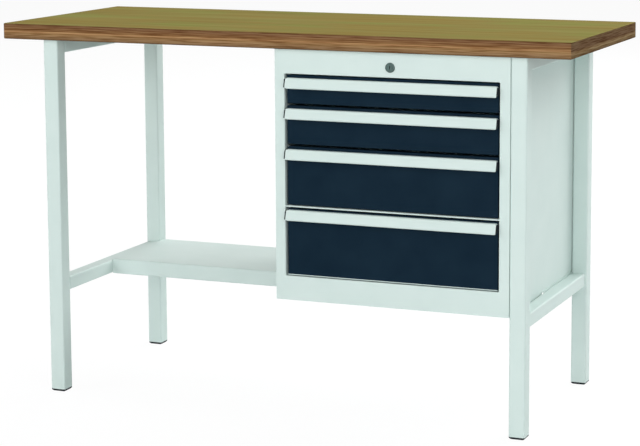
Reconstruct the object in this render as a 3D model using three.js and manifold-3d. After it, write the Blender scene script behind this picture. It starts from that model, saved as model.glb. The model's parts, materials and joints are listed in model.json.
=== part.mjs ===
// Box workbench: a laminated beech worktop on two end frames of square steel tube,
// with a half-depth shelf tray on the left and a cabinet of four drawers on the right.
// Each drawer runs on a pair of three-part telescopic rails, and one lock in the
// cabinet's header lowers a bar whose fingers hold all four drawers shut.
//
// Millimetres, +X along the bench, +Y towards its back, +Z up. The origin lies on the
// floor in the middle of the whole bench, pull strips included.

import * as THREE from 'three';
import { mergeVertices } from 'three/addons/utils/BufferGeometryUtils.js';
import Module from 'manifold-3d';

const wasm = await Module();
wasm.setup();

// Driving sizes of the bench
const benchHeight = 955;
const topLength = 1500;
const topDepth = 600;
const topThickness = 40;
const topEdgeBevel = 1.5;

// End frames, welded from square tube: the legs, and thinner rails between them
const tubeSize = 40;
const railTube = 35;
const tubeWall = 2;
const tubeCorner = 4;
const frameInsetEnd = 108;
const frameInsetFront = 10;
const lowerRailTop = 298;
const worktopScrewHole = 7;
const worktopScrewInset = 90;

// Plastic feet pressed into the legs
const footHeight = 6;
const footInset = 0.5;
const footTaper = 5;
const footPlugDepth = 18;
const footPlugWall = 3;
const footPlugOverlap = 2;

// Shelf tray
const shelfTop = 301;
const shelfDepth = 300;
const shelfRearInset = 13;
const shelfLip = 40;
const shelfHem = 14;
const shelfSheet = 1.5;
const shelfEndLip = 34;
const shelfEndLipInset = 20;
const shelfBoltHole = 9;
const shelfBoltInset = 50;
const shelfBoltDrop = 18;

// Cabinet housing
const cabinetWidth = 598;
const cabinetDepth = 550;
const cabinetLegGap = 2;
const frontFrameProud = 1.25;
const sheet = 1.25;
const stileWidth = 24;
const headerHeight = 60;
const sillHeight = 60;
const collarDepth = 22;
const openingCorner = 2;
const slotPitch = 25;
const slotWidth = 3;
const slotMargin = 12;
const sideFlange = 40;
const sideFlangeEnd = 2;
const baseUpturn = 12;
const backPanDepth = 14.5;
const backInset = 5;
const crossRailHeight = 3.5;
const crossRailSheet = 0.8;
const crossRailDepth = 18;

// Drawers, from the top one down: each height is one stack share of the opening
const drawerHeights = [75, 100, 150, 175];
const crossRailUnderDrawer = 3;
const frontRecess = 5;
const frontThickness = 17.5;
const frontSideGap = 5;
const frontTopGap = 4;
const frontFootGap = 2;
const frontCorner = 1.5;
const frontBevel = 1;
const trayLength = 482.5;
const trayFloorRise = 4;
const trayTopDrop = 11;
const trayHem = 8;
const dividerSlotWidth = 3;
const dividerSlotPitch = 50;
const dividerSlotDrop = 14;
const dividerSlotFoot = 12;
const drawerTravel = 450;

// Pull strips
const pullEndInset = 0.5;
const pullHeight = 26;
const pullCorner = 4.5;
const pullTopDrop = 10;
const pullReach = 14;
const pullTopReach = 7;
const pullSheet = 1.5;
const pullFlange = 15;
const pullLip = 5;

// Telescopic rails, sizes across their section
const railStart = 25;
const railLength = 475;
const railRise = 24;
const railThickness = 13;
const railSheet = 1.25;
const outerRailHalf = 22.5;
const outerRailReach = 10.5;
const outerRailLip = 3;
const middleRailHalf = 16.5;
const middleRailBack = 2;
const middleRailReach = 10.75;
const innerRailHalf = 10.75;
const innerRailFront = 4.25;
const outerBallPlace = 6;
const innerBallPlace = 7.5;
const ballOverlap = 0.25;
const hookInset = 25;
const hookThickness = 2;
const hookHalf = 5;
const hookClaw = 1.5;
const hookDrop = 6;

// Central lock
const lockRise = 24;
const rosetteRadius = 12;
const rosetteThickness = 2.5;
const rosetteBevel = 1;
const barrelRadius = 9.5;
const barrelLength = 16;
const coreRadius = 6;
const coreProud = 0.5;
const keySlotWidth = 2.5;
const keySlotHeight = 8;
const keySlotDepth = 7;
const camThickness = 2;
const camRim = 2.5;
const crankPinRadius = 2;
const crankPinLength = 4;
const crankSlotGap = 0.5;
const barThickness = 2;
const barArmHalf = 7;
const barArmEnd = 7;
const barFoot = 15;
const fingerHeight = 6;
const fingerReach = 4;
const catchThickness = 2;
const catchReach = 11;
const lockDrop = 8;
const lockStep = 1;

// Clearances
const fitGap = 0.25;
const passGap = 0.5;
const cutOverrun = 2;

// Facets: steps in a sheet's bend, in a quarter corner and round a small bar
const bendSteps = 2;
const cornerSteps = 3;
const ballSteps = 10;
const lockSteps = 32;

// Places worked out from the sizes above
const frameDepth = topDepth - 2 * frameInsetFront;
const underTop = benchHeight - topThickness;
const legLength = underTop - footHeight;
const legCentreX = topLength / 2 - frameInsetEnd - tubeSize / 2;
const frameInnerX = legCentreX - tubeSize / 2;
const cabinetCentre = frameInnerX - cabinetLegGap - cabinetWidth / 2;
const openingWidth = cabinetWidth - 2 * stileWidth;
const openingHeight = drawerHeights.reduce((sum, height) => sum + height, 0);
const openingTop = underTop - headerHeight;
const openingBottom = openingTop - openingHeight;
const panelBottom = openingBottom - sillHeight;
const housingBottom = shelfTop;
const sideStart = collarDepth + fitGap;
const trayStart = frontRecess + frontThickness;
const barBack = trayStart - passGap;
const barFront = barBack - barThickness;
const railBack = openingWidth / 2 + middleRailBack - passGap;
const postDepth = cabinetWidth / 2 - railBack - fitGap;
const traySide = railBack - railThickness;
const frontHalf = openingWidth / 2 - frontSideGap;
const pullHalf = frontHalf - pullEndInset;
const lockHeight = openingTop + lockRise;
const crankArm = lockDrop / Math.SQRT2;
const frontSlotRow = railStart + hookInset;
const rearSlotRow = railStart + railLength - hookInset;
const firstSlot = openingBottom + trayFloorRise + railRise;
const overallDepth = topDepth + pullProud() - frameInsetFront;
const frameFront = pullProud() - overallDepth / 2;

// Finishes
const paintedGrey = finish(0xd4e4dd, 0.5, 0.0);
const paintedBlue = finish(0x1b2a36, 0.45, 0.0);
const beechTop = finish(0x918a46, 0.55, 0.0);
const zincSteel = finish(0xaab2b8, 0.35, 0.9);
const lockMetal = finish(0x5f7a74, 0.4, 0.9);
const blackPlastic = finish(0x0b1820, 0.6, 0.0);

function finish(color, roughness, metalness) {
  return new THREE.MeshStandardMaterial({ color, roughness, metalness });
}

// A three.js geometry as a solid that can be joined and cut
function asSolid(geometry) {
  const bare = geometry.clone();
  bare.deleteAttribute('normal');
  bare.deleteAttribute('uv');
  const merged = mergeVertices(bare);
  const mesh = new wasm.Mesh({
    numProp: 3,
    vertProperties: Float32Array.from(merged.attributes.position.array),
    triVerts: Uint32Array.from(merged.index.array),
  });
  return new wasm.Manifold(mesh);
}

// A joined or cut solid back as a geometry
function asGeometry(solid) {
  const mesh = solid.getMesh();
  const geometry = new THREE.BufferGeometry();
  geometry.setAttribute('position', new THREE.BufferAttribute(mesh.vertProperties.slice(), 3));
  geometry.setIndex(new THREE.BufferAttribute(mesh.triVerts.slice(), 1));
  geometry.computeVertexNormals();
  return geometry;
}

function joined(...geometries) {
  const solids = geometries.map(asSolid);
  return asGeometry(solids.reduce((body, piece) => body.add(piece)));
}

function cutAway(geometry, tools) {
  return asGeometry(tools.map(asSolid).reduce((body, tool) => body.subtract(tool), asSolid(geometry)));
}

function keptWithin(geometry, tool) {
  return asGeometry(asSolid(geometry).intersect(asSolid(tool)));
}

// Prisms of a flat shape. The shape's own axes lie along X and Y for alongZ,
// along X and Z for alongY, and along Y and Z for alongX.
function alongZ(shape, from, to) {
  const geometry = new THREE.ExtrudeGeometry(shape, {
    depth: to - from,
    bevelEnabled: false,
    curveSegments: cornerSteps,
  });
  return geometry.translate(0, 0, from);
}

function alongY(shape, from, to) {
  return alongZ(shape, -to, -from).rotateX(Math.PI / 2);
}

function alongX(shape, from, to) {
  const turn = new THREE.Matrix4().makeBasis(
    new THREE.Vector3(0, 1, 0),
    new THREE.Vector3(0, 0, 1),
    new THREE.Vector3(1, 0, 0),
  );
  return alongZ(shape, from, to).applyMatrix4(turn);
}

// A box between two opposite corners, given in any order
function block(cornerA, cornerB) {
  const a = new THREE.Vector3(...cornerA);
  const b = new THREE.Vector3(...cornerB);
  const low = a.clone().min(b);
  const size = a.clone().max(b).sub(low);
  const middle = low.clone().addScaledVector(size, 0.5);
  return new THREE.BoxGeometry(size.x, size.y, size.z).translate(middle.x, middle.y, middle.z);
}

// A rectangle with rounded corners, between two opposite corners
function roundedRectangle(left, bottom, right, top, radius, Kind = THREE.Shape) {
  const shape = new Kind();
  shape.moveTo(left + radius, bottom);
  shape.absarc(right - radius, bottom + radius, radius, -Math.PI / 2, 0);
  shape.absarc(right - radius, top - radius, radius, 0, Math.PI / 2);
  shape.absarc(left + radius, top - radius, radius, Math.PI / 2, Math.PI);
  shape.absarc(left + radius, bottom + radius, radius, Math.PI, 1.5 * Math.PI);
  return shape;
}

function rectangle(left, bottom, right, top, Kind = THREE.Shape) {
  const shape = new Kind();
  shape.moveTo(left, bottom);
  shape.lineTo(right, bottom);
  shape.lineTo(right, top);
  shape.lineTo(left, top);
  shape.closePath();
  return shape;
}

function outline(points) {
  return new THREE.Shape(points.map(([across, up]) => new THREE.Vector2(across, up)));
}

// The outline of a sheet folded along the corners of its middle line. Each inner corner
// becomes an arc whose inside radius is the sheet's own thickness.
function foldedSheet(corners, thickness) {
  const bend = 1.5 * thickness;
  const path = corners.map(([across, up]) => new THREE.Vector2(across, up));
  const left = [];
  const right = [];
  const place = (point, direction) => {
    const normal = new THREE.Vector2(-direction.y, direction.x).multiplyScalar(thickness / 2);
    left.push(point.clone().add(normal));
    right.push(point.clone().sub(normal));
  };
  path.forEach((corner, index) => {
    const before = path[Math.max(index - 1, 0)];
    const after = path[Math.min(index + 1, path.length - 1)];
    const arriving = corner.clone().sub(before).normalize();
    const leaving = after.clone().sub(corner).normalize();
    if (index === 0) {
      place(corner, leaving);
    } else if (index === path.length - 1) {
      place(corner, arriving);
    } else {
      const turn = Math.atan2(arriving.cross(leaving), arriving.dot(leaving));
      const setback = bend * Math.tan(Math.abs(turn) / 2);
      const start = corner.clone().addScaledVector(arriving, -setback);
      const inward = new THREE.Vector2(-arriving.y, arriving.x).multiplyScalar(Math.sign(turn));
      const centre = start.clone().addScaledVector(inward, bend);
      for (let step = 0; step <= bendSteps; step++) {
        const angle = (turn * step) / bendSteps;
        const point = start.clone().rotateAround(centre, angle);
        place(point, arriving.clone().rotateAround(new THREE.Vector2(), angle));
      }
    }
  });
  return new THREE.Shape([...left, ...right.reverse()]);
}

function piece(name, geometry, material, place = [0, 0, 0]) {
  const mesh = new THREE.Mesh(geometry, material);
  mesh.name = name;
  mesh.position.set(...place);
  return mesh;
}

// Square tube seen along its length, centred
function tubeSection(size) {
  const half = size / 2;
  const inside = half - tubeWall;
  const section = roundedRectangle(-half, -half, half, half, tubeCorner);
  section.holes.push(
    roundedRectangle(-inside, -inside, inside, inside, tubeCorner - tubeWall, THREE.Path),
  );
  return section;
}

function worktopGeometry() {
  const halfLength = topLength / 2;
  const halfDepth = topDepth / 2;
  const plan = rectangle(-halfLength, -halfDepth, halfLength, halfDepth);
  const slab = new THREE.ExtrudeGeometry(plan, {
    depth: topThickness - 2 * topEdgeBevel,
    bevelThickness: topEdgeBevel,
    bevelSize: topEdgeBevel,
    bevelOffset: -topEdgeBevel,
    bevelSegments: 1,
  });
  return slab.translate(0, 0, topEdgeBevel);
}

// The pad narrows towards the floor, and its hollow plug fills the leg's end
function footGeometry() {
  const topHalf = tubeSize / 2 - footInset;
  const padTop = topHalf * Math.SQRT2;
  const padBottom = (topHalf - footTaper) * Math.SQRT2;
  const pad = new THREE.CylinderGeometry(padTop, padBottom, footHeight, 4)
    .rotateX(Math.PI / 2)
    .rotateZ(Math.PI / 4)
    .translate(0, 0, footHeight / 2);
  const plugHalf = tubeSize / 2 - tubeWall - fitGap;
  const plugCorner = tubeCorner - tubeWall;
  const wallHalf = plugHalf - footPlugWall;
  const section = roundedRectangle(-plugHalf, -plugHalf, plugHalf, plugHalf, plugCorner);
  section.holes.push(rectangle(-wallHalf, -wallHalf, wallHalf, wallHalf, THREE.Path));
  return joined(pad, alongZ(section, footHeight - footPlugOverlap, footHeight + footPlugDepth));
}

// The top rail has two holes through it for the screws that hold the worktop
function topRailGeometry() {
  const length = frameDepth - 2 * tubeSize;
  const rail = alongY(tubeSection(railTube), 0, length);
  const places = [worktopScrewInset, length - worktopScrewInset];
  const holes = places.map((place) =>
    new THREE.CylinderGeometry(
      worktopScrewHole / 2,
      worktopScrewHole / 2,
      railTube + cutOverrun,
      ballSteps,
    )
      .rotateX(Math.PI / 2)
      .translate(0, place, 0),
  );
  return cutAway(rail, holes);
}

// One end frame: two legs, a top rail under the worktop and a lower rail. The rails lie
// flush with the legs' inner faces.
function endFrame(sideName, side) {
  const frame = new THREE.Group();
  frame.position.set(side * legCentreX, frameFront, 0);
  const legs = [
    ['front', tubeSize / 2],
    ['rear', frameDepth - tubeSize / 2],
  ];
  for (const [endName, depth] of legs) {
    const leg = alongZ(tubeSection(tubeSize), 0, legLength);
    frame.add(piece(`${sideName}_${endName}_leg`, leg, paintedGrey, [0, depth, footHeight]));
    frame.add(piece(`${sideName}_${endName}_foot`, footGeometry(), blackPlastic, [0, depth, 0]));
  }
  const inward = (-side * (tubeSize - railTube)) / 2;
  const topRailPlace = [inward, tubeSize, underTop - railTube / 2];
  frame.add(piece(`${sideName}_top_rail`, topRailGeometry(), paintedGrey, topRailPlace));
  const lowerRail = alongY(tubeSection(railTube), 0, frameDepth - 2 * tubeSize);
  const lowerRailPlace = [inward, tubeSize, lowerRailTop - railTube / 2];
  frame.add(piece(`${sideName}_lower_rail`, lowerRail, paintedGrey, lowerRailPlace));
  return frame;
}

// The tray is folded down along both long edges, with a hem at each lip's foot, and
// down at both ends, where it is bolted to the lower rails
function shelfGeometry() {
  const half = shelfSheet / 2;
  const section = foldedSheet(
    [
      [shelfHem, half - shelfLip],
      [half, half - shelfLip],
      [half, -half],
      [shelfDepth - half, -half],
      [shelfDepth - half, half - shelfLip],
      [shelfDepth - shelfHem, half - shelfLip],
    ],
    shelfSheet,
  );
  const tray = alongX(section, -frameInnerX, frameInnerX);
  const endLips = [-1, 1].map((side) =>
    block(
      [side * frameInnerX, shelfEndLipInset, -half],
      [side * (frameInnerX - shelfSheet), shelfDepth - shelfEndLipInset, -shelfEndLip],
    ),
  );
  const bolts = [shelfBoltInset, shelfDepth - shelfBoltInset].map((place) =>
    new THREE.CylinderGeometry(
      shelfBoltHole / 2,
      shelfBoltHole / 2,
      topLength,
      ballSteps,
    )
      .rotateZ(Math.PI / 2)
      .translate(0, place, -shelfBoltDrop),
  );
  return cutAway(joined(tray, ...endLips), bolts);
}

// Everything in the cabinet is measured from the middle of its front, at the floor's level

// The front frame is one pressed ring, a little wider than the sides: a flat face with the
// lock's hole, and collars folded back along its outside and round the drawer opening. The
// opening's left collar is notched for each finger of the lock bar.
function frontFrameGeometry() {
  const half = cabinetWidth / 2 + frontFrameProud;
  const openHalf = openingWidth / 2;
  const openHole = () =>
    roundedRectangle(-openHalf, openingBottom, openHalf, openingTop, openingCorner, THREE.Path);
  const face = rectangle(-half, panelBottom, half, underTop);
  const lockHole = new THREE.Path();
  lockHole.absarc(0, lockHeight, barrelRadius + fitGap, 0, 2 * Math.PI);
  face.holes.push(openHole());
  const innerCollar = roundedRectangle(
    -openHalf - sheet,
    openingBottom - sheet,
    openHalf + sheet,
    openingTop + sheet,
    openingCorner + sheet,
  );
  innerCollar.holes.push(openHole());
  const outerCollar = rectangle(-half, panelBottom, half, underTop);
  outerCollar.holes.push(
    rectangle(sheet - half, panelBottom + sheet, half - sheet, underTop - sheet, THREE.Path),
  );
  const ring = joined(
    alongY(face, 0, sheet),
    alongY(innerCollar, 0, collarDepth),
    alongY(outerCollar, 0, collarDepth),
  );
  const notches = drawerPlaces().map(({ trayTop }) =>
    block(
      [-openHalf + cutOverrun, barFront - fitGap, fingerBottom(trayTop) - lockDrop - lockStep],
      [
        -openHalf - sheet - cutOverrun,
        collarDepth + cutOverrun,
        fingerBottom(trayTop) + fingerHeight + lockStep,
      ],
    ),
  );
  const lockOpening = new THREE.CylinderGeometry(
    barrelRadius + fitGap,
    barrelRadius + fitGap,
    sheet + 2 * cutOverrun,
    lockSteps,
  ).translate(0, sheet / 2, lockHeight);
  return cutAway(ring, [lockOpening, ...notches]);
}

// A side panel is a C in plan: its two edges fold inwards into posts, whose slots, one to
// each drawer unit, carry the rails. Flanges at its head and foot take the worktop's screws
// and the base.
function sidePanelGeometry(side) {
  const fromOutside = (inset) => side * (cabinetWidth / 2 - inset);
  const half = sheet / 2;
  const section = foldedSheet(
    [
      [fromOutside(postDepth - half), frontSlotRow + slotMargin],
      [fromOutside(postDepth - half), sideStart + half],
      [fromOutside(half), sideStart + half],
      [fromOutside(half), cabinetDepth - half],
      [fromOutside(postDepth - half), cabinetDepth - half],
      [fromOutside(postDepth - half), rearSlotRow - slotMargin],
    ],
    sheet,
  );
  const flangeFront = frontSlotRow + slotMargin + sideFlangeEnd;
  const flangeBack = rearSlotRow - slotMargin - sideFlangeEnd;
  const flangeAt = (level) =>
    block(
      [fromOutside(half), flangeFront, level],
      [fromOutside(sideFlange), flangeBack, level + sheet],
    );
  const panel = joined(
    alongZ(section, housingBottom, underTop),
    flangeAt(housingBottom),
    flangeAt(underTop - sheet),
  );
  const slots = [];
  for (let level = firstSlot; level + slotPitch / 2 < underTop; level += slotPitch) {
    const low = level - hookHalf - fitGap;
    const high = level + hookHalf + hookDrop + fitGap;
    for (const row of [frontSlotRow, rearSlotRow]) {
      slots.push(
        block(
          [fromOutside(postDepth - sheet - cutOverrun), row - slotWidth / 2, low],
          [fromOutside(postDepth + cutOverrun), row + slotWidth / 2, high],
        ),
      );
    }
  }
  return cutAway(panel, slots);
}

// The base is a pan with its front and back edges turned up, lying on the sides' flanges
function baseGeometry() {
  const half = sheet / 2;
  const level = housingBottom + sheet + half;
  const front = sideStart + fitGap + half;
  const back = cabinetDepth - fitGap - half;
  const section = foldedSheet(
    [
      [front, level + baseUpturn],
      [front, level],
      [back, level],
      [back, level + baseUpturn],
    ],
    sheet,
  );
  const reach = cabinetWidth / 2 - postDepth - fitGap;
  return alongX(section, -reach, reach);
}

// The back is a pan set in from the sides' outer faces, so that it passes the rear leg
function backGeometry() {
  const half = cabinetWidth / 2 - backInset;
  const foot = housingBottom + backInset;
  const head = underTop - backInset;
  const rim = rectangle(-half, foot, half, head);
  rim.holes.push(rectangle(sheet - half, foot + sheet, half - sheet, head - sheet, THREE.Path));
  const back = cabinetDepth + backPanDepth;
  return joined(
    alongY(rectangle(-half, foot, half, head), back - sheet, back),
    alongY(rim, cabinetDepth, back),
  );
}

// A flat channel across the opening, open at the back
function crossRailGeometry() {
  const half = crossRailSheet / 2;
  const level = drawerPlaces()[crossRailUnderDrawer - 1].bottom;
  const section = foldedSheet(
    [
      [crossRailDepth, level - half],
      [half, level - half],
      [half, level - crossRailHeight + half],
      [crossRailDepth, level - crossRailHeight + half],
    ],
    crossRailSheet,
  );
  return alongX(section, -openingWidth / 2, openingWidth / 2);
}

// Where each drawer's share of the opening lies, and the floor of its tray
function drawerPlaces() {
  let top = openingTop;
  return drawerHeights.map((height, index) => {
    const bottom = top - height;
    const belowRail = index === crossRailUnderDrawer;
    const place = {
      number: index + 1,
      top,
      bottom,
      frontTop: top - frontTopGap - (belowRail ? crossRailHeight : 0),
      trayBottom: bottom + trayFloorRise,
      trayTop: top - trayTopDrop,
    };
    top = bottom;
    return place;
  });
}

// Lowest edge of a lock finger while the drawers are free
function fingerBottom(trayTop) {
  return trayTop + lockStep;
}

// A folded tray, open on top: its walls end in a hem, slots in the rear one hold dividers,
// and the catch, a flange beside the front one, is what the lock's finger holds
function trayGeometry(height) {
  const front = trayStart;
  const back = trayStart + trayLength;
  const ring = (inset) => {
    const shape = rectangle(-traySide, front, traySide, back);
    shape.holes.push(
      rectangle(inset - traySide, front + inset, traySide - inset, back - inset, THREE.Path),
    );
    return shape;
  };
  const body = joined(
    alongZ(rectangle(-traySide, front, traySide, back), 0, sheet),
    alongZ(ring(sheet), 0, height),
    alongZ(ring(2 * sheet), height - trayHem, height),
    block(
      [-traySide + sheet / 2, front, 0],
      [-traySide - catchReach, front + catchThickness, height],
    ),
  );
  const slots = [];
  const slotTop = height - dividerSlotDrop;
  const count = Math.floor((2 * traySide) / dividerSlotPitch) - 1;
  for (let index = 0; index < count; index++) {
    const across = (index - (count - 1) / 2) * dividerSlotPitch;
    slots.push(
      block(
        [across - dividerSlotWidth / 2, back - sheet - cutOverrun, dividerSlotFoot],
        [across + dividerSlotWidth / 2, back + cutOverrun, slotTop],
      ),
    );
  }
  return cutAway(body, slots);
}

// A drawer front is a pan with softened edges, open at the back
function frontGeometry(height) {
  const pan = new THREE.ExtrudeGeometry(
    roundedRectangle(-frontHalf, 0, frontHalf, height, frontCorner),
    {
      depth: frontThickness - frontBevel,
      bevelThickness: frontBevel,
      bevelSize: frontBevel,
      bevelOffset: -frontBevel,
      bevelSegments: 2,
      curveSegments: cornerSteps,
    },
  );
  pan.rotateX(Math.PI / 2).translate(0, trayStart, 0);
  const hollow = block(
    [sheet - frontHalf, frontRecess + sheet, sheet],
    [frontHalf - sheet, trayStart + cutOverrun, height - sheet],
  );
  const trim = block(
    [-frontHalf - cutOverrun, trayStart, -cutOverrun],
    [frontHalf + cutOverrun, trayStart + cutOverrun, height + cutOverrun],
  );
  return cutAway(pan, [hollow, trim]);
}

// The pull strip leans out towards its foot, so that fingers reach up behind it, and its
// ends have rounded corners
function pullGeometry() {
  const half = pullSheet / 2;
  const section = foldedSheet(
    [
      [frontRecess - half, pullHeight - pullFlange],
      [frontRecess - half, pullHeight - half],
      [half - pullTopReach, pullHeight - half],
      [half - pullReach, half],
      [pullLip - pullReach, half],
    ],
    pullSheet,
  );
  const strip = alongX(section, -pullHalf, pullHalf);
  const ends = alongY(
    roundedRectangle(-pullHalf, 0, pullHalf, pullHeight, pullCorner),
    -pullReach - cutOverrun,
    frontRecess + cutOverrun,
  );
  return keptWithin(strip, ends);
}

// How far a pull stands out in front of the cabinet, less than its reach by the round of
// its foot
function pullProud() {
  const pull = pullGeometry();
  pull.computeBoundingBox();
  return -pull.boundingBox.min.y;
}

// The three members of a telescopic rail, each a folded channel. Distances across the
// section are counted from the cabinet rail's back, towards the drawer.
function railSection(side, corners) {
  return foldedSheet(
    corners.map(([across, up]) => [side * (railBack - across), up]),
    railSheet,
  );
}

function cabinetRailGeometry(side) {
  const half = railSheet / 2;
  const flange = outerRailHalf - half;
  const lip = outerRailReach - half;
  const channel = alongY(
    railSection(side, [
      [lip, outerRailHalf - outerRailLip],
      [lip, flange],
      [half, flange],
      [half, -flange],
      [lip, -flange],
      [lip, outerRailLip - outerRailHalf],
    ]),
    railStart,
    railStart + railLength,
  );
  const clawFront = -fitGap - sheet - fitGap;
  const clawBack = clawFront - hookClaw;
  const hook = outline(
    [
      [half, hookHalf],
      [clawBack, hookHalf],
      [clawBack, -hookHalf - hookDrop],
      [clawFront, -hookHalf - hookDrop],
      [clawFront, -hookHalf],
      [half, -hookHalf],
    ].map(([across, up]) => [side * (railBack - across), up]),
  );
  const hooks = [frontSlotRow, rearSlotRow].map((row) =>
    alongY(hook, row - hookThickness / 2, row + hookThickness / 2),
  );
  return joined(channel, ...hooks);
}

// The rows of balls outside and inside the middle rail's flanges are drawn as round beads.
// The outer rows lie at its rear, where they stay in the cabinet's rail when the drawer is
// out, and the inner rows at its front, where they stay in the drawer's.
function middleRailGeometry(side) {
  const half = railSheet / 2;
  const flange = middleRailHalf - half;
  const channel = alongY(
    railSection(side, [
      [middleRailReach, flange],
      [middleRailBack + half, flange],
      [middleRailBack + half, -flange],
      [middleRailReach, -flange],
    ]),
    railStart,
    railStart + railLength,
  );
  const outerTop = outerRailHalf - railSheet - fitGap;
  const outerFoot = middleRailHalf - ballOverlap;
  const innerTop = middleRailHalf - railSheet + ballOverlap;
  const innerFoot = innerRailHalf + fitGap;
  const rowLength = railLength - drawerTravel / 2;
  const frontRow = railStart + rowLength / 2;
  const rearRow = railStart + railLength - rowLength / 2;
  const rows = [
    [outerBallPlace, rearRow, (outerTop + outerFoot) / 2, (outerTop - outerFoot) / 2],
    [innerBallPlace, frontRow, (innerTop + innerFoot) / 2, (innerTop - innerFoot) / 2],
  ];
  const beads = rows.flatMap(([across, along, up, radius]) =>
    [-1, 1].map((way) =>
      new THREE.CylinderGeometry(radius, radius, rowLength, ballSteps).translate(
        side * (railBack - across),
        along,
        way * up,
      ),
    ),
  );
  return joined(channel, ...beads);
}

function drawerRailGeometry(side) {
  const half = railSheet / 2;
  const flange = innerRailHalf - half;
  return alongY(
    railSection(side, [
      [innerRailFront, flange],
      [railThickness - half, flange],
      [railThickness - half, -flange],
      [innerRailFront, -flange],
    ]),
    railStart,
    railStart + railLength,
  );
}

// One drawer with the two telescopic rails that carry it
function drawer({ number, top, bottom, frontTop, trayBottom, trayTop }) {
  const group = new THREE.Group();
  const frontBottom = bottom + frontFootGap;
  const name = `drawer_${number}`;
  group.add(
    piece(`${name}_tray`, trayGeometry(trayTop - trayBottom), paintedGrey, [0, 0, trayBottom]),
    piece(`${name}_front`, frontGeometry(frontTop - frontBottom), paintedBlue, [0, 0, frontBottom]),
    piece(`${name}_pull`, pullGeometry(), paintedGrey, [0, 0, top - pullTopDrop - pullHeight]),
  );
  for (const [sideName, side] of [['left', -1], ['right', 1]]) {
    const level = [0, 0, trayBottom + railRise];
    const rail = `${name}_${sideName}`;
    group.add(
      piece(`${rail}_cabinet_rail`, cabinetRailGeometry(side), zincSteel, level),
      piece(`${rail}_middle_rail`, middleRailGeometry(side), zincSteel, level),
      piece(`${rail}_drawer_rail`, drawerRailGeometry(side), zincSteel, level),
    );
  }
  return group;
}

// Lock parts are turned round the key's axis, which runs front to back
function turned(profile) {
  const points = profile.map(([radius, along]) => new THREE.Vector2(radius, along));
  return new THREE.LatheGeometry(points, lockSteps);
}

function lockHousingGeometry() {
  const bore = coreRadius + fitGap;
  return turned([
    [bore, -rosetteThickness],
    [rosetteRadius - rosetteBevel, -rosetteThickness],
    [rosetteRadius, rosetteBevel - rosetteThickness],
    [rosetteRadius, 0],
    [barrelRadius, 0],
    [barrelRadius, barrelLength],
    [bore, barrelLength],
    [bore, -rosetteThickness],
  ]);
}

function lockCoreGeometry() {
  const front = -rosetteThickness - coreProud;
  const core = turned([
    [0, front],
    [coreRadius, front],
    [coreRadius, barrelLength + fitGap],
    [0, barrelLength + fitGap],
  ]);
  const keySlot = block(
    [-keySlotWidth / 2, front - cutOverrun, -keySlotHeight / 2],
    [keySlotWidth / 2, front + keySlotDepth, keySlotHeight / 2],
  );
  return cutAway(core, [keySlot]);
}

// The cam carries the crank pin, which starts an eighth of a turn above the level
function lockCamGeometry() {
  const pinPlace = crankArm / Math.SQRT2;
  const camFront = barrelLength + fitGap;
  const camBack = camFront + camThickness;
  const disc = (radius, from, to, across, up) =>
    new THREE.CylinderGeometry(radius, radius, to - from, lockSteps / 2).translate(
      across,
      (from + to) / 2,
      up,
    );
  return joined(
    disc(coreRadius, camFront, camBack, 0, 0),
    disc(crankPinRadius + camRim, camFront, camBack, pinPlace, pinPlace),
    disc(crankPinRadius, camFront, camBack + crankPinLength, pinPlace, pinPlace),
  );
}

// A flat bar that slides in the left stile, between its collars, with a finger for each
// drawer, and an arm along the header whose slot the crank pin lowers
function lockBarGeometry() {
  const pinPlace = crankArm / Math.SQRT2;
  const armLevel = lockHeight + pinPlace;
  const left = sheet + fitGap - cabinetWidth / 2;
  const right = -openingWidth / 2 - sheet - fitGap;
  const fingerTip = fingerReach - openingWidth / 2;
  const places = drawerPlaces();
  const foot = fingerBottom(places[places.length - 1].trayTop) - barFoot;
  const bar = joined(
    block([left, barFront, foot], [right, barBack, armLevel + barArmHalf]),
    block(
      [left, barFront, armLevel - barArmHalf],
      [barArmEnd + pinPlace, barBack, armLevel + barArmHalf],
    ),
    ...places.map(({ trayTop }) =>
      block(
        [left, barFront, fingerBottom(trayTop)],
        [fingerTip, barBack, fingerBottom(trayTop) + fingerHeight],
      ),
    ),
  );
  const slotHalf = crankPinRadius + crankSlotGap;
  const slot = roundedRectangle(
    pinPlace - slotHalf,
    armLevel - slotHalf,
    crankArm + slotHalf,
    armLevel + slotHalf,
    crankPinRadius,
  );
  return cutAway(bar, [alongY(slot, barFront - cutOverrun, barBack + cutOverrun)]);
}

function cabinet() {
  const group = new THREE.Group();
  group.position.set(cabinetCentre, frameFront, 0);
  group.add(
    piece('cabinet_left_side', sidePanelGeometry(-1), paintedGrey),
    piece('cabinet_right_side', sidePanelGeometry(1), paintedGrey),
    piece('cabinet_back', backGeometry(), paintedGrey),
    piece('cabinet_base', baseGeometry(), paintedGrey),
    piece('cabinet_front_frame', frontFrameGeometry(), paintedGrey),
    piece('cabinet_cross_rail', crossRailGeometry(), paintedGrey),
    piece('lock_housing', lockHousingGeometry(), lockMetal, [0, 0, lockHeight]),
    piece('lock_core', lockCoreGeometry(), lockMetal, [0, 0, lockHeight]),
    piece('lock_cam', lockCamGeometry(), zincSteel, [0, 0, lockHeight]),
    piece('lock_bar', lockBarGeometry(), zincSteel),
    ...drawerPlaces().map(drawer),
  );
  return group;
}

function workbench() {
  const bench = new THREE.Group();
  const topPlace = [0, frameFront - frameInsetFront + topDepth / 2, underTop];
  const shelfFront = frameFront + frameDepth - shelfRearInset - shelfDepth;
  const shelfPlace = [0, shelfFront, shelfTop];
  bench.add(
    piece('worktop', worktopGeometry(), beechTop, topPlace),
    endFrame('left', -1),
    endFrame('right', 1),
    piece('shelf', shelfGeometry(), paintedGrey, shelfPlace),
    cabinet(),
  );
  return bench;
}

export default workbench();
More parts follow.
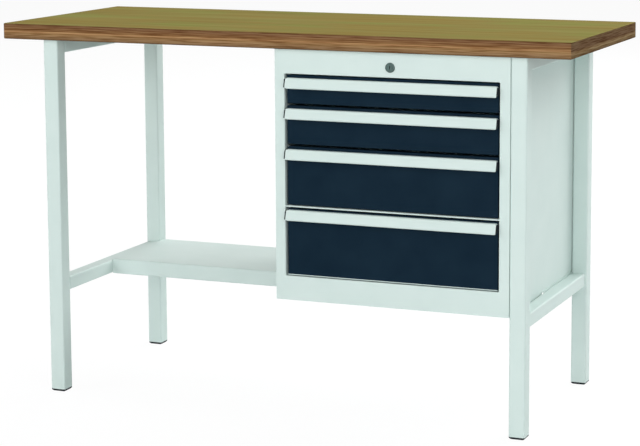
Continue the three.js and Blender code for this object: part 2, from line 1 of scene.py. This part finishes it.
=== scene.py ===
"""A box workbench: beech multiplex top, end frames of square tube, shelf and drawer cabinet.

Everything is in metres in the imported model's frame: +X along the bench, +Y to its back, +Z up.
"""

import json
import math

import bpy
import numpy as np
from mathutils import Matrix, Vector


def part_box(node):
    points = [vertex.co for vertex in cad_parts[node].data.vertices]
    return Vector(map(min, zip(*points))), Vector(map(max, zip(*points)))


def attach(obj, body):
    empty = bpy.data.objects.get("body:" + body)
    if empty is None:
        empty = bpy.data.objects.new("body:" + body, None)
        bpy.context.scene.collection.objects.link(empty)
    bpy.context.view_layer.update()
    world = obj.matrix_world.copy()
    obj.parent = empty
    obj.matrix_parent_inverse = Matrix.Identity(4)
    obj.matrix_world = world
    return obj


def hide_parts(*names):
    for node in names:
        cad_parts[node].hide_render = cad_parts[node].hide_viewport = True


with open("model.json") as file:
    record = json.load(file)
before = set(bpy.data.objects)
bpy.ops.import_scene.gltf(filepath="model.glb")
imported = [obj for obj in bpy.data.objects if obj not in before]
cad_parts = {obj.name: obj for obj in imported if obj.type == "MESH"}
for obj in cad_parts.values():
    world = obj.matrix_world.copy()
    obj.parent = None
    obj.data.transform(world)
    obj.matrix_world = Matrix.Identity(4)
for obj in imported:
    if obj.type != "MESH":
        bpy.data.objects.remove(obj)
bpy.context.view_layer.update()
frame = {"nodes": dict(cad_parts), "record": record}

MM = 0.001
X_AXIS, Y_AXIS, Z_AXIS = np.eye(3)

# The camera, fitted to the straight edges and corners of the bench in the photograph
picture_width = 640
camera_place = (2011.52 * MM, -4753.06 * MM, 1391.06 * MM)
camera_turn = math.radians(20.68)
camera_dip = math.radians(7.736)
camera_reach = 200
focal_pixels = 2021.75
middle_from_axis = (-80, -98)
film_width = 36.0

# Square soft boxes, all of one width and aimed at one point: place, then power in watts
softbox_width = 5.0
softbox_target = (0, 0, 0.5)
softboxes = {
    "front_low_softbox": ((0.0, -9.0, 1.2), 325),
    "front_left_softbox": ((-6.0, -6.0, 5.0), 280),
    "front_right_softbox": ((5.0, -6.0, 5.0), 150),
    "front_right_low_softbox": ((6.0, -7.0, 1.5), 125),
    "right_softbox": ((4.0, 0.5, 4.0), 28),
    "back_right_softbox": ((4.5, 5.0, 4.5), 335),
    "back_high_softbox": ((0.0, 7.0, 5.0), 330),
    "top_softbox": ((0.0, 0.0, 8.0), 98),
}

# The surround's fill light. The floor's half width, and how strongly it glows where it is seen
fill_strength = 0.03
floor_reach = 60.0
floor_glow = 1.05
floor_glow_share = 0.9

# Edges that bend more than this stay sharp, and half round bends have this many points
sharp_bend = math.radians(35)
bend_points = 9

# Fillet welds. Each ripple swells the radius by a share of it. A weld leaves a margin of its seam
# bare at both ends, and thins out before it
weld_radius = 1.6 * MM
weld_swell = 0.08
weld_ripple = 2.0 * MM
weld_margin = 4.0 * MM
weld_thinning = 2.0 * MM
weld_rings = 90
weld_points = 12

# Shelf bolts. A profile is (radius, height over the sheet), and the head's radius is to its flats
washer_profile = np.array([(8.245, 0), (8.5, 0.14), (8.5, 1.26), (8.245, 1.4)]) * MM
head_profile = np.array([(6.5, 1.4), (6.5, 4.28), (6.5, 5.4), (5.85, 5.4)]) * MM
bolt_points = 36
shelf_bolt_inset = 50 * MM
shelf_bolt_drop = 18 * MM
shelf_sheet = 1.5 * MM

# A foot as (half width, height over the floor): a bevel, a rim as wide as the leg, then its plug
foot_profile = np.array(
    [(16.0, 0.0), (16.5, 0.2), (19.7, 3.2), (20.0, 3.6), (20.0, 6.0), (17.7, 6.0), (17.7, 24.0)]
) * MM
foot_squareness = 12
foot_points = 64

# A pull's end seen from the side, as (depth from the cabinet's front, height over its foot)
cap_outline = np.array([(4.6, 12), (4.6, 23), (-7.9, 23), (-13.0, 4), (-12.4, 3), (-9.0, 3)]) * MM
# The caps' black, this thick, also paints the thin shadow line at each end of a pull
cap_thickness = 3.0 * MM

# Hems and the flange beside the rear leg
cabinet_sheet = 1.25 * MM
front_hem_height = 2.0 * MM
front_hem_thickness = 0.8 * MM
side_hem_drop = 4.5 * MM
side_hem_gap = 0.5 * MM
side_overlap = 0.2 * MM
rear_flange_clearance = 0.1 * MM

# The lock's rosette. Its ring is (radius, depth), and its rim (radius from the outside, depth)
lock_clearance = 0.25 * MM
lock_barrel_radius = 9.5 * MM
bore_bevel_width = 0.3 * MM
bore_bevel_depth = 0.25 * MM
rosette_ring = np.array([(8.4, 0), (8.7, 0.7), (9.9, 0.7), (10.2, 0)]) * MM
rosette_rim = np.array([(-1.4, 0), (-0.6, 0.2), (-0.15, 0.7), (0, 1.4), (0, 2.5)]) * MM
lock_points = 96


def linear(code):
    """The linear colour of an sRGB hex code such as "D4E4DD"."""
    channels = np.array([int(code[at:at + 2], 16) / 255 for at in (0, 2, 4)])
    light = np.where(channels <= 0.04045, channels / 12.92, ((channels + 0.055) / 1.055) ** 2.4)
    return (*light.tolist(), 1.0)


def add(tree, kind, inputs=None, stops=(), **settings):
    """A new shader node with its settings, and its inputs as sockets to link, hex codes or values.

    Stops are the (position, hex code) pairs of a colour ramp.
    """
    made = tree.nodes.new("ShaderNode" + kind)
    for name, value in settings.items():
        setattr(made, name, value)
    for key, value in (inputs or {}).items():
        if isinstance(value, bpy.types.NodeSocket):
            tree.links.new(value, made.inputs[key])
        else:
            made.inputs[key].default_value = linear(value) if isinstance(value, str) else value
    for index, (position, code) in enumerate(stops):
        elements = made.color_ramp.elements
        element = elements[index] if index < len(elements) else elements.new(position)
        element.position = position
        element.color = linear(code)
    return made


def bare_material(name):
    """A new material without nodes, and its tree."""
    material = bpy.data.materials.new(name)
    material.use_nodes = True
    material.node_tree.nodes.clear()
    return material, material.node_tree


def per_mm(x, y, z):
    """The Mapping scale that turns metres into steps of the given millimetres along each axis."""
    return (1 / (x * MM), 1 / (y * MM), 1 / (z * MM))


def powder_coat(name, dark, light, roughness, specular):
    """Polyester powder, sprayed on steel and baked: a satin skin.

    The eye gets an even colour with the faintest clouding, and an orange peel that only breaks
    up the edge of a highlight.
    """
    material, tree = bare_material(name)
    place = add(tree, "TexCoord").outputs["Object"]
    wide = add(tree, "Mapping", {"Vector": place, "Scale": per_mm(90, 90, 90)})
    cloud = add(tree, "TexNoise", {"Vector": wide.outputs[0], "Scale": 1.0, "Detail": 3.0})
    # Real peel is about 1 mm wide. It is drawn 2.5 mm wide, so that a highlight shows it
    close = add(tree, "Mapping", {"Vector": place, "Scale": per_mm(2.5, 2.5, 2.5)})
    peel = add(tree, "TexNoise", {"Vector": close.outputs[0], "Scale": 1.0, "Detail": 2.0})
    colour = add(tree, "ValToRGB", {"Fac": cloud.outputs["Fac"]}, [(0.3, dark), (0.7, light)])
    sheen = add(
        tree,
        "MapRange",
        {"Value": peel.outputs["Fac"], "To Min": roughness - 0.04, "To Max": roughness + 0.04},
    )
    relief = add(tree, "Bump", {"Height": peel.outputs["Fac"], "Distance": 0.03 * MM})
    coat = add(
        tree,
        "BsdfPrincipled",
        {
            "Base Color": colour.outputs["Color"],
            "Roughness": sheen.outputs["Result"],
            "Normal": relief.outputs["Normal"],
            "IOR": 1.5,
            "Specular IOR Level": specular,
        },
    )
    add(tree, "OutputMaterial", {"Surface": coat.outputs["BSDF"]})
    return material


def oiled_beech_multiplex():
    """Beech veneers glued crosswise into a slab, sanded and oiled.

    The eye gets long, quiet grain streaks on the top with browner and greener patches, fine
    dark and light plies along the edges, and the darker cut ends of the plies at both ends.
    """
    material, tree = bare_material("oiled_beech_multiplex")
    low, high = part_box("worktop")
    place = add(tree, "TexCoord").outputs["Object"]

    # Grain streaks about 14 mm wide and 0.5 m long, patches a hand wide, and pores 1.5 mm wide
    along = add(tree, "Mapping", {"Vector": place, "Scale": per_mm(500, 14, 14)})
    streaks = add(tree, "TexNoise", {"Vector": along.outputs[0], "Scale": 1.0, "Detail": 4.0})
    broad = add(tree, "Mapping", {"Vector": place, "Scale": per_mm(260, 90, 90)})
    patches = add(tree, "TexNoise", {"Vector": broad.outputs[0], "Scale": 1.0, "Detail": 3.0})
    patch_tone = add(
        tree,
        "ValToRGB",
        {"Fac": patches.outputs["Fac"]},
        [(0.34, "FFF2EA"), (0.5, "FAF6F4"), (0.66, "F2FFF2")],
    )
    tight = add(tree, "Mapping", {"Vector": place, "Scale": per_mm(60, 1.5, 1.5)})
    pores = add(tree, "TexNoise", {"Vector": tight.outputs[0], "Scale": 1.0, "Detail": 2.0})
    face = add(
        tree,
        "ValToRGB",
        {"Fac": streaks.outputs["Fac"]},
        [(0.3, "8D7F4A"), (0.5, "948A52"), (0.7, "99955B")],
    )
    face = add(
        tree,
        "Mix",
        {"Factor": 1.0, 6: face.outputs["Color"], 7: patch_tone.outputs["Color"]},
        data_type="RGBA",
        blend_type="MULTIPLY",
    )

    # Real plies are 1.5 mm thick. They are drawn in bands of 3 to 6 mm, so that they show
    split = add(tree, "SeparateXYZ", {"Vector": place})
    share = add(
        tree,
        "MapRange",
        {"Value": split.outputs["Z"], "From Min": low[2], "From Max": high[2]},
    )
    drifting = add(tree, "Mapping", {"Vector": place, "Scale": per_mm(420, 420, 30)})
    drift = add(tree, "TexNoise", {"Vector": drifting.outputs[0], "Scale": 1.0, "Detail": 3.0})
    wander = add(
        tree, "MapRange", {"Value": drift.outputs["Fac"], "To Min": -0.012, "To Max": 0.012}
    )
    level = add(tree, "Math", {0: share.outputs["Result"], 1: wander.outputs["Result"]})
    long_plies = add(
        tree,
        "ValToRGB",
        {"Fac": level.outputs["Value"]},
        [
            (0.0, "6E5539"),
            (0.06, "80664A"),
            (0.13, "947858"),
            (0.22, "947755"),
            (0.3, "A1835E"),
            (0.36, "90704B"),
            (0.41, "A07E56"),
            (0.44, "94724C"),
            (0.475, "BC966C"),
            (0.515, "AA845B"),
            (0.55, "8A6743"),
            (0.6, "906D4A"),
            (0.66, "7F5D3C"),
            (0.73, "92704F"),
            (0.79, "7C5A3E"),
            (0.86, "8A6A4D"),
            (0.93, "7A5B3F"),
            (1.0, "806849"),
        ],
    )
    end_plies = add(
        tree,
        "ValToRGB",
        {"Fac": level.outputs["Value"]},
        [
            (0.0, "715D43"),
            (0.14, "756248"),
            (0.28, "937F5F"),
            (0.38, "7F694E"),
            (0.46, "6E5742"),
            (0.7, "705A45"),
            (0.9, "715D46"),
            (1.0, "716043"),
        ],
    )
    # The last millimetre before a face belongs to that face
    within = 1 * MM
    sideways = add(tree, "Math", {0: split.outputs["X"]}, operation="ABSOLUTE")
    at_end = add(
        tree,
        "Math",
        {0: sideways.outputs["Value"], 1: high[0] - within},
        operation="GREATER_THAN",
    )
    plies = add(
        tree,
        "Mix",
        {
            "Factor": at_end.outputs["Value"],
            6: long_plies.outputs["Color"],
            7: end_plies.outputs["Color"],
        },
        data_type="RGBA",
    )
    # Fibre streaks within the plies are 0.5 mm high. They are drawn 2.4 mm high and 70 mm long
    fibre = add(tree, "Mapping", {"Vector": place, "Scale": per_mm(70, 70, 2.4)})
    dashes = add(tree, "TexNoise", {"Vector": fibre.outputs[0], "Scale": 1.0, "Detail": 3.0})
    shade = add(
        tree,
        "ValToRGB",
        {"Fac": dashes.outputs["Fac"]},
        [(0.34, "BEAA9C"), (0.5, "EEE6E0"), (0.62, "FFFFFF")],
    )
    sides = add(
        tree,
        "Mix",
        {"Factor": 1.0, 6: plies.outputs[2], 7: shade.outputs["Color"]},
        data_type="RGBA",
        blend_type="MULTIPLY",
    )
    on_top = add(
        tree,
        "Math",
        {0: split.outputs["Z"], 1: high[2] - within},
        operation="GREATER_THAN",
    )
    colour = add(
        tree,
        "Mix",
        {"Factor": on_top.outputs["Value"], 6: sides.outputs[2], 7: face.outputs[2]},
        data_type="RGBA",
    )
    sheen = add(tree, "MapRange", {"Value": pores.outputs["Fac"], "To Min": 0.78, "To Max": 0.9})
    relief = add(tree, "Bump", {"Height": pores.outputs["Fac"], "Distance": 0.05 * MM})
    oiled = add(
        tree,
        "BsdfPrincipled",
        {
            "Base Color": colour.outputs[2],
            "Roughness": sheen.outputs["Result"],
            "Normal": relief.outputs["Normal"],
            "IOR": 1.47,
            "Specular IOR Level": 0.0,
        },
    )
    add(tree, "OutputMaterial", {"Surface": oiled.outputs["BSDF"]})
    return material


def bright_zinc_plate():
    """Zinc, electroplated on rolled steel strip: a cool grey sheen with fine lines along it."""
    material, tree = bare_material("bright_zinc_plate")
    place = add(tree, "TexCoord").outputs["Object"]
    # Rolling lines of a tenth of a millimetre are drawn 0.8 mm apart
    along = add(tree, "Mapping", {"Vector": place, "Scale": per_mm(0.8, 120, 0.8)})
    lines = add(tree, "TexNoise", {"Vector": along.outputs[0], "Scale": 1.0, "Detail": 3.0})
    colour = add(
        tree, "ValToRGB", {"Fac": lines.outputs["Fac"]}, [(0.3, "9AA3A9"), (0.7, "C0C6CA")]
    )
    sheen = add(tree, "MapRange", {"Value": lines.outputs["Fac"], "To Min": 0.28, "To Max": 0.42})
    relief = add(tree, "Bump", {"Height": lines.outputs["Fac"], "Distance": 0.02 * MM})
    plate = add(
        tree,
        "BsdfPrincipled",
        {
            "Base Color": colour.outputs["Color"],
            "Roughness": sheen.outputs["Result"],
            "Normal": relief.outputs["Normal"],
            "Metallic": 1.0,
        },
    )
    add(tree, "OutputMaterial", {"Surface": plate.outputs["BSDF"]})
    return material


def dulled_nickel_plate():
    """Nickel plate on a zinc casting, turned and dulled: greyish green, with a soft gloss."""
    material, tree = bare_material("dulled_nickel_plate")
    place = add(tree, "TexCoord").outputs["Object"]
    # Handling marks about 1.2 mm across
    close = add(tree, "Mapping", {"Vector": place, "Scale": per_mm(1.2, 1.2, 1.2)})
    marks = add(tree, "TexNoise", {"Vector": close.outputs[0], "Scale": 1.0, "Detail": 3.0})
    colour = add(
        tree, "ValToRGB", {"Fac": marks.outputs["Fac"]}, [(0.3, "42514E"), (0.7, "556865")]
    )
    sheen = add(tree, "MapRange", {"Value": marks.outputs["Fac"], "To Min": 0.35, "To Max": 0.5})
    plate = add(
        tree,
        "BsdfPrincipled",
        {
            "Base Color": colour.outputs["Color"],
            "Roughness": sheen.outputs["Result"],
            "Metallic": 1.0,
        },
    )
    add(tree, "OutputMaterial", {"Surface": plate.outputs["BSDF"]})
    return material


def moulded_polyethylene():
    """Black polyethylene from a spark-eroded mould: dull, with a fine even grain."""
    material, tree = bare_material("black_moulded_polyethylene")
    place = add(tree, "TexCoord").outputs["Object"]
    # The grain of 0.3 mm is drawn 1 mm wide
    close = add(tree, "Mapping", {"Vector": place, "Scale": per_mm(1, 1, 1)})
    grain = add(tree, "TexNoise", {"Vector": close.outputs[0], "Scale": 1.0, "Detail": 3.0})
    colour = add(
        tree, "ValToRGB", {"Fac": grain.outputs["Fac"]}, [(0.3, "050B12"), (0.7, "0A131B")]
    )
    sheen = add(tree, "MapRange", {"Value": grain.outputs["Fac"], "To Min": 0.5, "To Max": 0.68})
    relief = add(tree, "Bump", {"Height": grain.outputs["Fac"], "Distance": 0.03 * MM})
    plastic = add(
        tree,
        "BsdfPrincipled",
        {
            "Base Color": colour.outputs["Color"],
            "Roughness": sheen.outputs["Result"],
            "Normal": relief.outputs["Normal"],
            "IOR": 1.5,
            "Specular IOR Level": 0.12,
        },
    )
    add(tree, "OutputMaterial", {"Surface": plastic.outputs["BSDF"]})
    return material


def dress_the_nodes():
    """Gives every CAD node the material of its record slot, and returns the slots' materials."""
    made = {
        "beech_top": oiled_beech_multiplex(),
        "grey_paint": powder_coat("light_grey_powder_coat", "D2E2DE", "D6E5E1", 0.48, 0.2),
        "blue_paint": powder_coat("anthracite_blue_powder_coat", "0F2230", "152836", 0.45, 0.03),
        "zinc_steel": bright_zinc_plate(),
        "lock_metal": dulled_nickel_plate(),
        "black_plastic": moulded_polyethylene(),
    }
    for part in frame["record"]["subparts"]:
        node = frame["nodes"][part["node"]]
        node.data.materials.clear()
        node.data.materials.append(made[part["material_slot"]])
    return made


def turns(count):
    """Angles that part a full turn evenly, from 0."""
    return 2 * math.pi * np.arange(count) / count


def around(places, outward, across, profile, shape):
    """Rings of points round one axis at each place, as copies x rings x points x 3.

    The profile gives each ring's radius and height. A point is its place + height x outward +
    radius x shape x (cos(angle) x across + sin(angle) x sideways), where sideways is
    outward x across, and shape is one row for all rings or one for each. With the rings come the
    two points where the first and the last of them close.
    """
    radii, heights = np.asarray(profile, float).T
    angles = turns(shape.shape[-1])[:, None]
    spokes = np.cos(angles) * across + np.sin(angles) * np.cross(outward, across)
    axis_points = np.asarray(places, float)[:, None, :] + heights[:, None] * outward
    rings = axis_points[:, :, None, :] + radii[:, None, None] * (shape[..., None] * spokes)
    return rings, axis_points[:, [0, -1]]


def skin(name, rings, ends, body, slot):
    """A closed piece over rings of points, in the material of its slot, which rides on a body.

    Neighbouring rings are joined by four-sided faces. The first and the last ring close in a fan
    on their end points, or on each other where there are none.
    """
    copies, ring_count, point_count = rings.shape[:3]
    row = np.arange(ring_count if ends is None else ring_count - 1)[:, None] * point_count
    column = np.arange(point_count)
    following = (column + 1) % point_count
    above = (row + point_count) % (ring_count * point_count)
    quads = np.stack([row + column, row + following, above + following, above + column], -1)
    points = rings.reshape(copies, -1, 3)
    fans = np.empty((0, 3), int)
    if ends is not None:
        first = points.shape[1]
        top = (ring_count - 1) * point_count
        points = np.concatenate([points, ends], axis=1)
        fans = np.concatenate(
            [
                np.stack([np.full_like(column, first), following, column], -1),
                np.stack([np.full_like(column, first + 1), top + column, top + following], -1),
            ]
        )
    starts = np.arange(copies)[:, None, None] * points.shape[1]
    faces = (quads.reshape(-1, 4) + starts).reshape(-1, 4).tolist()
    faces += (fans + starts).reshape(-1, 3).tolist()
    mesh = bpy.data.meshes.new(name)
    mesh.from_pydata(points.reshape(-1, 3).tolist(), [], faces)
    mesh.shade_smooth()
    mesh.set_sharp_from_angle(angle=sharp_bend)
    mesh.materials.append(materials[slot])
    piece = bpy.data.objects.new(name, mesh)
    bpy.context.collection.objects.link(piece)
    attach(piece, body)
    return piece


def carry(name, outline, along, spans, body, slot):
    """A closed piece that an outline sweeps straight along an axis, once for each span.

    A point is its outline's point + distance x along, and a span is the first and last distance.
    Both end faces are fans about the outline's middle.
    """
    rings = outline + np.asarray(spans)[:, :, None, None] * along
    skin(name, rings, rings.mean(axis=2), body, slot)


def add_welds(side):
    """Fillet welds above and below each rail where it meets a leg.

    A weld is a round bar half sunk in the corner. Its radius swells and shrinks with the cosine
    of the length, once for each ripple, and falls to nothing at both ends.
    """
    top_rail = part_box(f"{side}_top_rail")
    lower_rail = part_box(f"{side}_lower_rail")
    seams = [(top_rail, end, 0) for end in (0, 1)]
    seams += [(lower_rail, end, face) for end in (0, 1) for face in (0, 1)]
    starts = [(rail[0][0] + weld_margin, rail[end][1], rail[face][2]) for rail, end, face in seams]
    length = lower_rail[1][0] - lower_rail[0][0] - 2 * weld_margin
    travel = np.linspace(0, length, weld_rings)
    thinning = np.sqrt(np.clip(np.minimum(travel, length - travel) / weld_thinning, 0, 1))
    ripples = 1 + weld_swell * np.cos(2 * math.pi * travel / weld_ripple)
    profile = np.column_stack([weld_radius * thinning * ripples, travel])
    rings, ends = around(starts, X_AXIS, Y_AXIS, profile[1:-1], np.ones(weld_points))
    step = travel[1]
    ends += np.array([[-step], [step]]) * X_AXIS
    skin(f"{side}_frame_welds", rings, ends, "frame", "grey_paint")


def add_hex_heads(name, places, outward, across):
    """Hexagon head screws on round washers.

    The two lower rings of a head have the radius of a hexagon, flats / 2 / cos(angle from the
    middle of the nearest flat). The two upper ones are round, which is the head's chamfer.
    """
    circle = np.ones(bolt_points)
    rings, ends = around(places, outward, across, washer_profile, circle)
    skin(f"{name}_washers", rings, ends, "frame", "zinc_steel")
    from_flat = (turns(bolt_points) + math.pi / 6) % (math.pi / 3) - math.pi / 6
    hexagon = 1 / np.cos(from_flat)
    shape = np.array([hexagon, hexagon, circle, circle])
    rings, ends = around(places, outward, across, head_profile, shape)
    skin(f"{name}_heads", rings, ends, "frame", "zinc_steel")


def add_shelf_bolts():
    """Two screws inside each end of the shelf, which hold it to the end frame there."""
    low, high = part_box("shelf")
    ends = {"left": (low[0] + shelf_sheet, X_AXIS), "right": (high[0] - shelf_sheet, -X_AXIS)}
    height = high[2] - shelf_bolt_drop
    for side, (inside, outward) in ends.items():
        depths = (low[1] + shelf_bolt_inset, high[1] - shelf_bolt_inset)
        places = [(inside, depth, height) for depth in depths]
        add_hex_heads(f"{side}_shelf_bolt", places, outward, Z_AXIS)


def add_feet():
    """Plastic feet pressed into the legs, as one piece.

    Round each leg's axis run rings that are rounded squares: radius = half width / the twelfth
    root of (cos(angle)^12 + sin(angle)^12).
    """
    nodes = [f"{side}_{end}_foot" for side in ("left", "right") for end in ("front", "rear")]
    places = []
    for node in nodes:
        low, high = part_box(node)
        places.append(((low[0] + high[0]) / 2, (low[1] + high[1]) / 2, low[2]))
    angles = turns(foot_points)
    powers = np.cos(angles) ** foot_squareness + np.sin(angles) ** foot_squareness
    square = powers ** (-1 / foot_squareness)
    rings, ends = around(places, Z_AXIS, X_AXIS, foot_profile, square)
    feet = skin("feet", rings, ends, "frame", "black_plastic")
    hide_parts(*nodes)


def add_front_hem():
    """The light hem that shows along the foot of the lowest front, with a rounded face.

    Its outline is half an ellipse:
    y = face - thickness x cos(turn), z = foot + height x (1 + sin(turn)) / 2.
    """
    low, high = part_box("drawer_4_front")
    turn = np.linspace(math.pi / 2, -math.pi / 2, bend_points)
    depth = low[1] - front_hem_thickness * np.cos(turn)
    height = low[2] + front_hem_height * (1 + np.sin(turn)) / 2
    outline = np.column_stack([np.zeros_like(turn), depth, height])
    carry("drawer_4_front_hem", outline, X_AXIS, [(low[0], high[0])], "drawer_4", "grey_paint")


def add_side_hem(side, outward):
    """The folded hem at the foot of a cabinet side, in front of the shelf, down to the rail.

    Its outline is two thicknesses of sheet wide and ends below in half a circle:
    x = outer face - outward x sheet x (1 - cos(turn)), z = centre - sheet x sin(turn).
    """
    low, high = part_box(f"cabinet_{side}_side")
    face = high[0] if outward > 0 else low[0]
    top = low[2] + side_overlap
    bend = low[2] - side_hem_drop + cabinet_sheet
    turn = np.linspace(0, math.pi, bend_points)
    across = np.concatenate([[0], 1 - np.cos(turn), [2]]) * cabinet_sheet
    height = np.concatenate([[top], bend - cabinet_sheet * np.sin(turn), [top]])
    outline = np.column_stack([face - outward * across, np.zeros_like(across), height])
    if outward < 0:
        outline = outline[::-1]
    spans = [(low[1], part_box("shelf")[0][1] - side_hem_gap)]
    carry(f"cabinet_{side}_side_hem", outline, Y_AXIS, spans, "frame", "grey_paint")


def add_rear_flange():
    """The flange that closes the slot between the right side's rear edge and the leg beside it.

    Its outline is one sheet thick and ends beside the leg in half a circle:
    x = centre + sheet / 2 x cos(turn), y = rear edge - sheet / 2 x (1 - sin(turn)).
    """
    low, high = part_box("cabinet_right_side")
    leg_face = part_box("right_rear_leg")[0][0]
    half = cabinet_sheet / 2
    centre = leg_face - rear_flange_clearance - half
    root = high[0] - side_overlap
    turn = np.linspace(-math.pi / 2, math.pi / 2, bend_points)
    across = np.concatenate([[root], centre + half * np.cos(turn), [root]])
    depth = high[1] - half * np.concatenate([[2], 1 - np.sin(turn), [0]])
    outline = np.column_stack([across, depth, np.zeros_like(across)])
    spans = [(low[2] + side_overlap, high[2] - side_overlap)]
    carry("cabinet_right_side_rear_flange", outline, Z_AXIS, spans, "frame", "grey_paint")


def add_lock_rosette():
    """The lock's rosette and barrel in one: a profile of (radius, depth) turned on the key's axis.

    The rim is rounded over, and a narrow ring is cut into the face.
    """
    low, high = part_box("lock_housing")
    core_low, core_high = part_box("lock_core")
    middle = (low + high) / 2
    bore = (core_high[2] - core_low[2]) / 2 + lock_clearance
    outside = (high[2] - low[2]) / 2
    thickness = rosette_rim[-1, 1]
    depth = high[1] - low[1]
    profile = [
        (bore, bore_bevel_depth),
        (bore + bore_bevel_width, 0),
        *rosette_ring,
        *(rosette_rim + (outside, 0)),
        (lock_barrel_radius, thickness),
        (lock_barrel_radius, depth),
        (bore, depth),
    ]
    place = (middle[0], low[1], middle[2])
    rings, _ = around([place], Y_AXIS, Z_AXIS, profile, np.ones(lock_points))
    rosette = skin("lock_rosette", rings, None, "frame", "lock_metal")
    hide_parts("lock_housing")


def add_capped_and_shaded_pull_ends(number):
    """Black end caps that close both ends of a pull strip; their black is also painted shade.

    A cap is the pull's outline carried along X by its thickness.
    """
    # The caps are black plastic, and their black also paints the shadow line along the pull's ends
    low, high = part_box(f"drawer_{number}_pull")
    front_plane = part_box("cabinet_front_frame")[0][1]
    depth = front_plane + cap_outline[:, 0]
    height = low[2] + cap_outline[:, 1]
    outline = np.column_stack([np.zeros_like(depth), depth, height])
    spans = [(low[0] - cap_thickness, low[0]), (high[0], high[0] + cap_thickness)]
    body = f"drawer_{number}"
    carry(f"{body}_capped_and_shaded_pull_ends", outline, X_AXIS, spans, body, "black_plastic")


def seen_plainly(tree):
    """A socket that is 1 on rays of the camera, of gloss and of transmission, and 0 on others."""
    rays = add(tree, "LightPath").outputs
    seen = rays["Is Camera Ray"]
    for kind in ("Is Glossy Ray", "Is Transmission Ray"):
        seen = add(tree, "Math", {0: seen, 1: rays[kind]}, operation="MAXIMUM").outputs["Value"]
    return seen


def add_stage():
    """A wide white floor. The camera and reflections see it as white, with a faint shadow."""
    mesh = bpy.data.meshes.new("floor")
    corners = [(-1, -1, 0), (1, -1, 0), (1, 1, 0), (-1, 1, 0)]
    mesh.from_pydata((floor_reach * np.array(corners)).tolist(), [], [(0, 1, 2, 3)])
    floor = bpy.data.objects.new("floor", mesh)
    bpy.context.collection.objects.link(floor)
    material, tree = bare_material("pale_floor")
    seen = seen_plainly(tree)
    share = add(tree, "Math", {0: seen, 1: floor_glow_share}, operation="MULTIPLY")
    paint = add(tree, "BsdfPrincipled", {"Base Color": "D8DCDC", "Roughness": 0.9})
    white = add(tree, "Emission", {"Color": "FFFFFF", "Strength": floor_glow})
    mixed = add(
        tree,
        "MixShader",
        {0: share.outputs["Value"], 1: paint.outputs["BSDF"], 2: white.outputs["Emission"]},
    )
    add(tree, "OutputMaterial", {"Surface": mixed.outputs["Shader"]})
    mesh.materials.append(material)


def add_world():
    """A pale surround that fills the shadows a little, white where it is seen or reflected."""
    world = bpy.data.worlds.new("studio")
    bpy.context.scene.world = world
    world.use_nodes = True
    tree = world.node_tree
    tree.nodes.clear()
    fill = add(tree, "Background", {"Color": "F2F8FA", "Strength": fill_strength})
    white = add(tree, "Background", {"Color": "FFFFFF", "Strength": 1.0})
    mixed = add(
        tree,
        "MixShader",
        {0: seen_plainly(tree), 1: fill.outputs["Background"], 2: white.outputs["Background"]},
    )
    add(tree, "OutputWorld", {"Surface": mixed.outputs["Shader"]})


def add_softbox(name, place, power):
    """A square soft box that faces the bench."""
    light = bpy.data.lights.new(name, "AREA")
    light.shape = "SQUARE"
    light.size = softbox_width
    light.energy = power
    lamp = bpy.data.objects.new(name, light)
    x, y, z = np.array(softbox_target) - np.array(place)
    lamp.location = place
    lamp.rotation_euler = (math.atan2(math.hypot(x, y), -z), 0, math.atan2(-x, y))
    bpy.context.collection.objects.link(lamp)


def add_camera():
    """The photograph's view: its picture is a crop of a shifted one."""
    lens = bpy.data.cameras.new("camera")
    lens.sensor_width = film_width
    lens.lens = focal_pixels / picture_width * film_width
    lens.shift_x = middle_from_axis[0] / picture_width
    lens.shift_y = middle_from_axis[1] / picture_width
    lens.clip_end = camera_reach
    camera = bpy.data.objects.new("camera", lens)
    camera.location = camera_place
    camera.rotation_euler = (math.pi / 2 - camera_dip, 0, camera_turn)
    bpy.context.collection.objects.link(camera)
    bpy.context.scene.camera = camera


add_camera()
materials = dress_the_nodes()
for side in ("left", "right"):
    add_welds(side)
add_shelf_bolts()
add_feet()
add_front_hem()
add_side_hem("left", -1)
add_side_hem("right", 1)
add_rear_flange()
add_lock_rosette()
for number in range(1, 5):
    add_capped_and_shaded_pull_ends(number)

add_stage()
add_world()
for name, (place, power) in softboxes.items():
    add_softbox(name, place, power)
bpy.context.scene.view_settings.view_transform = "Standard"
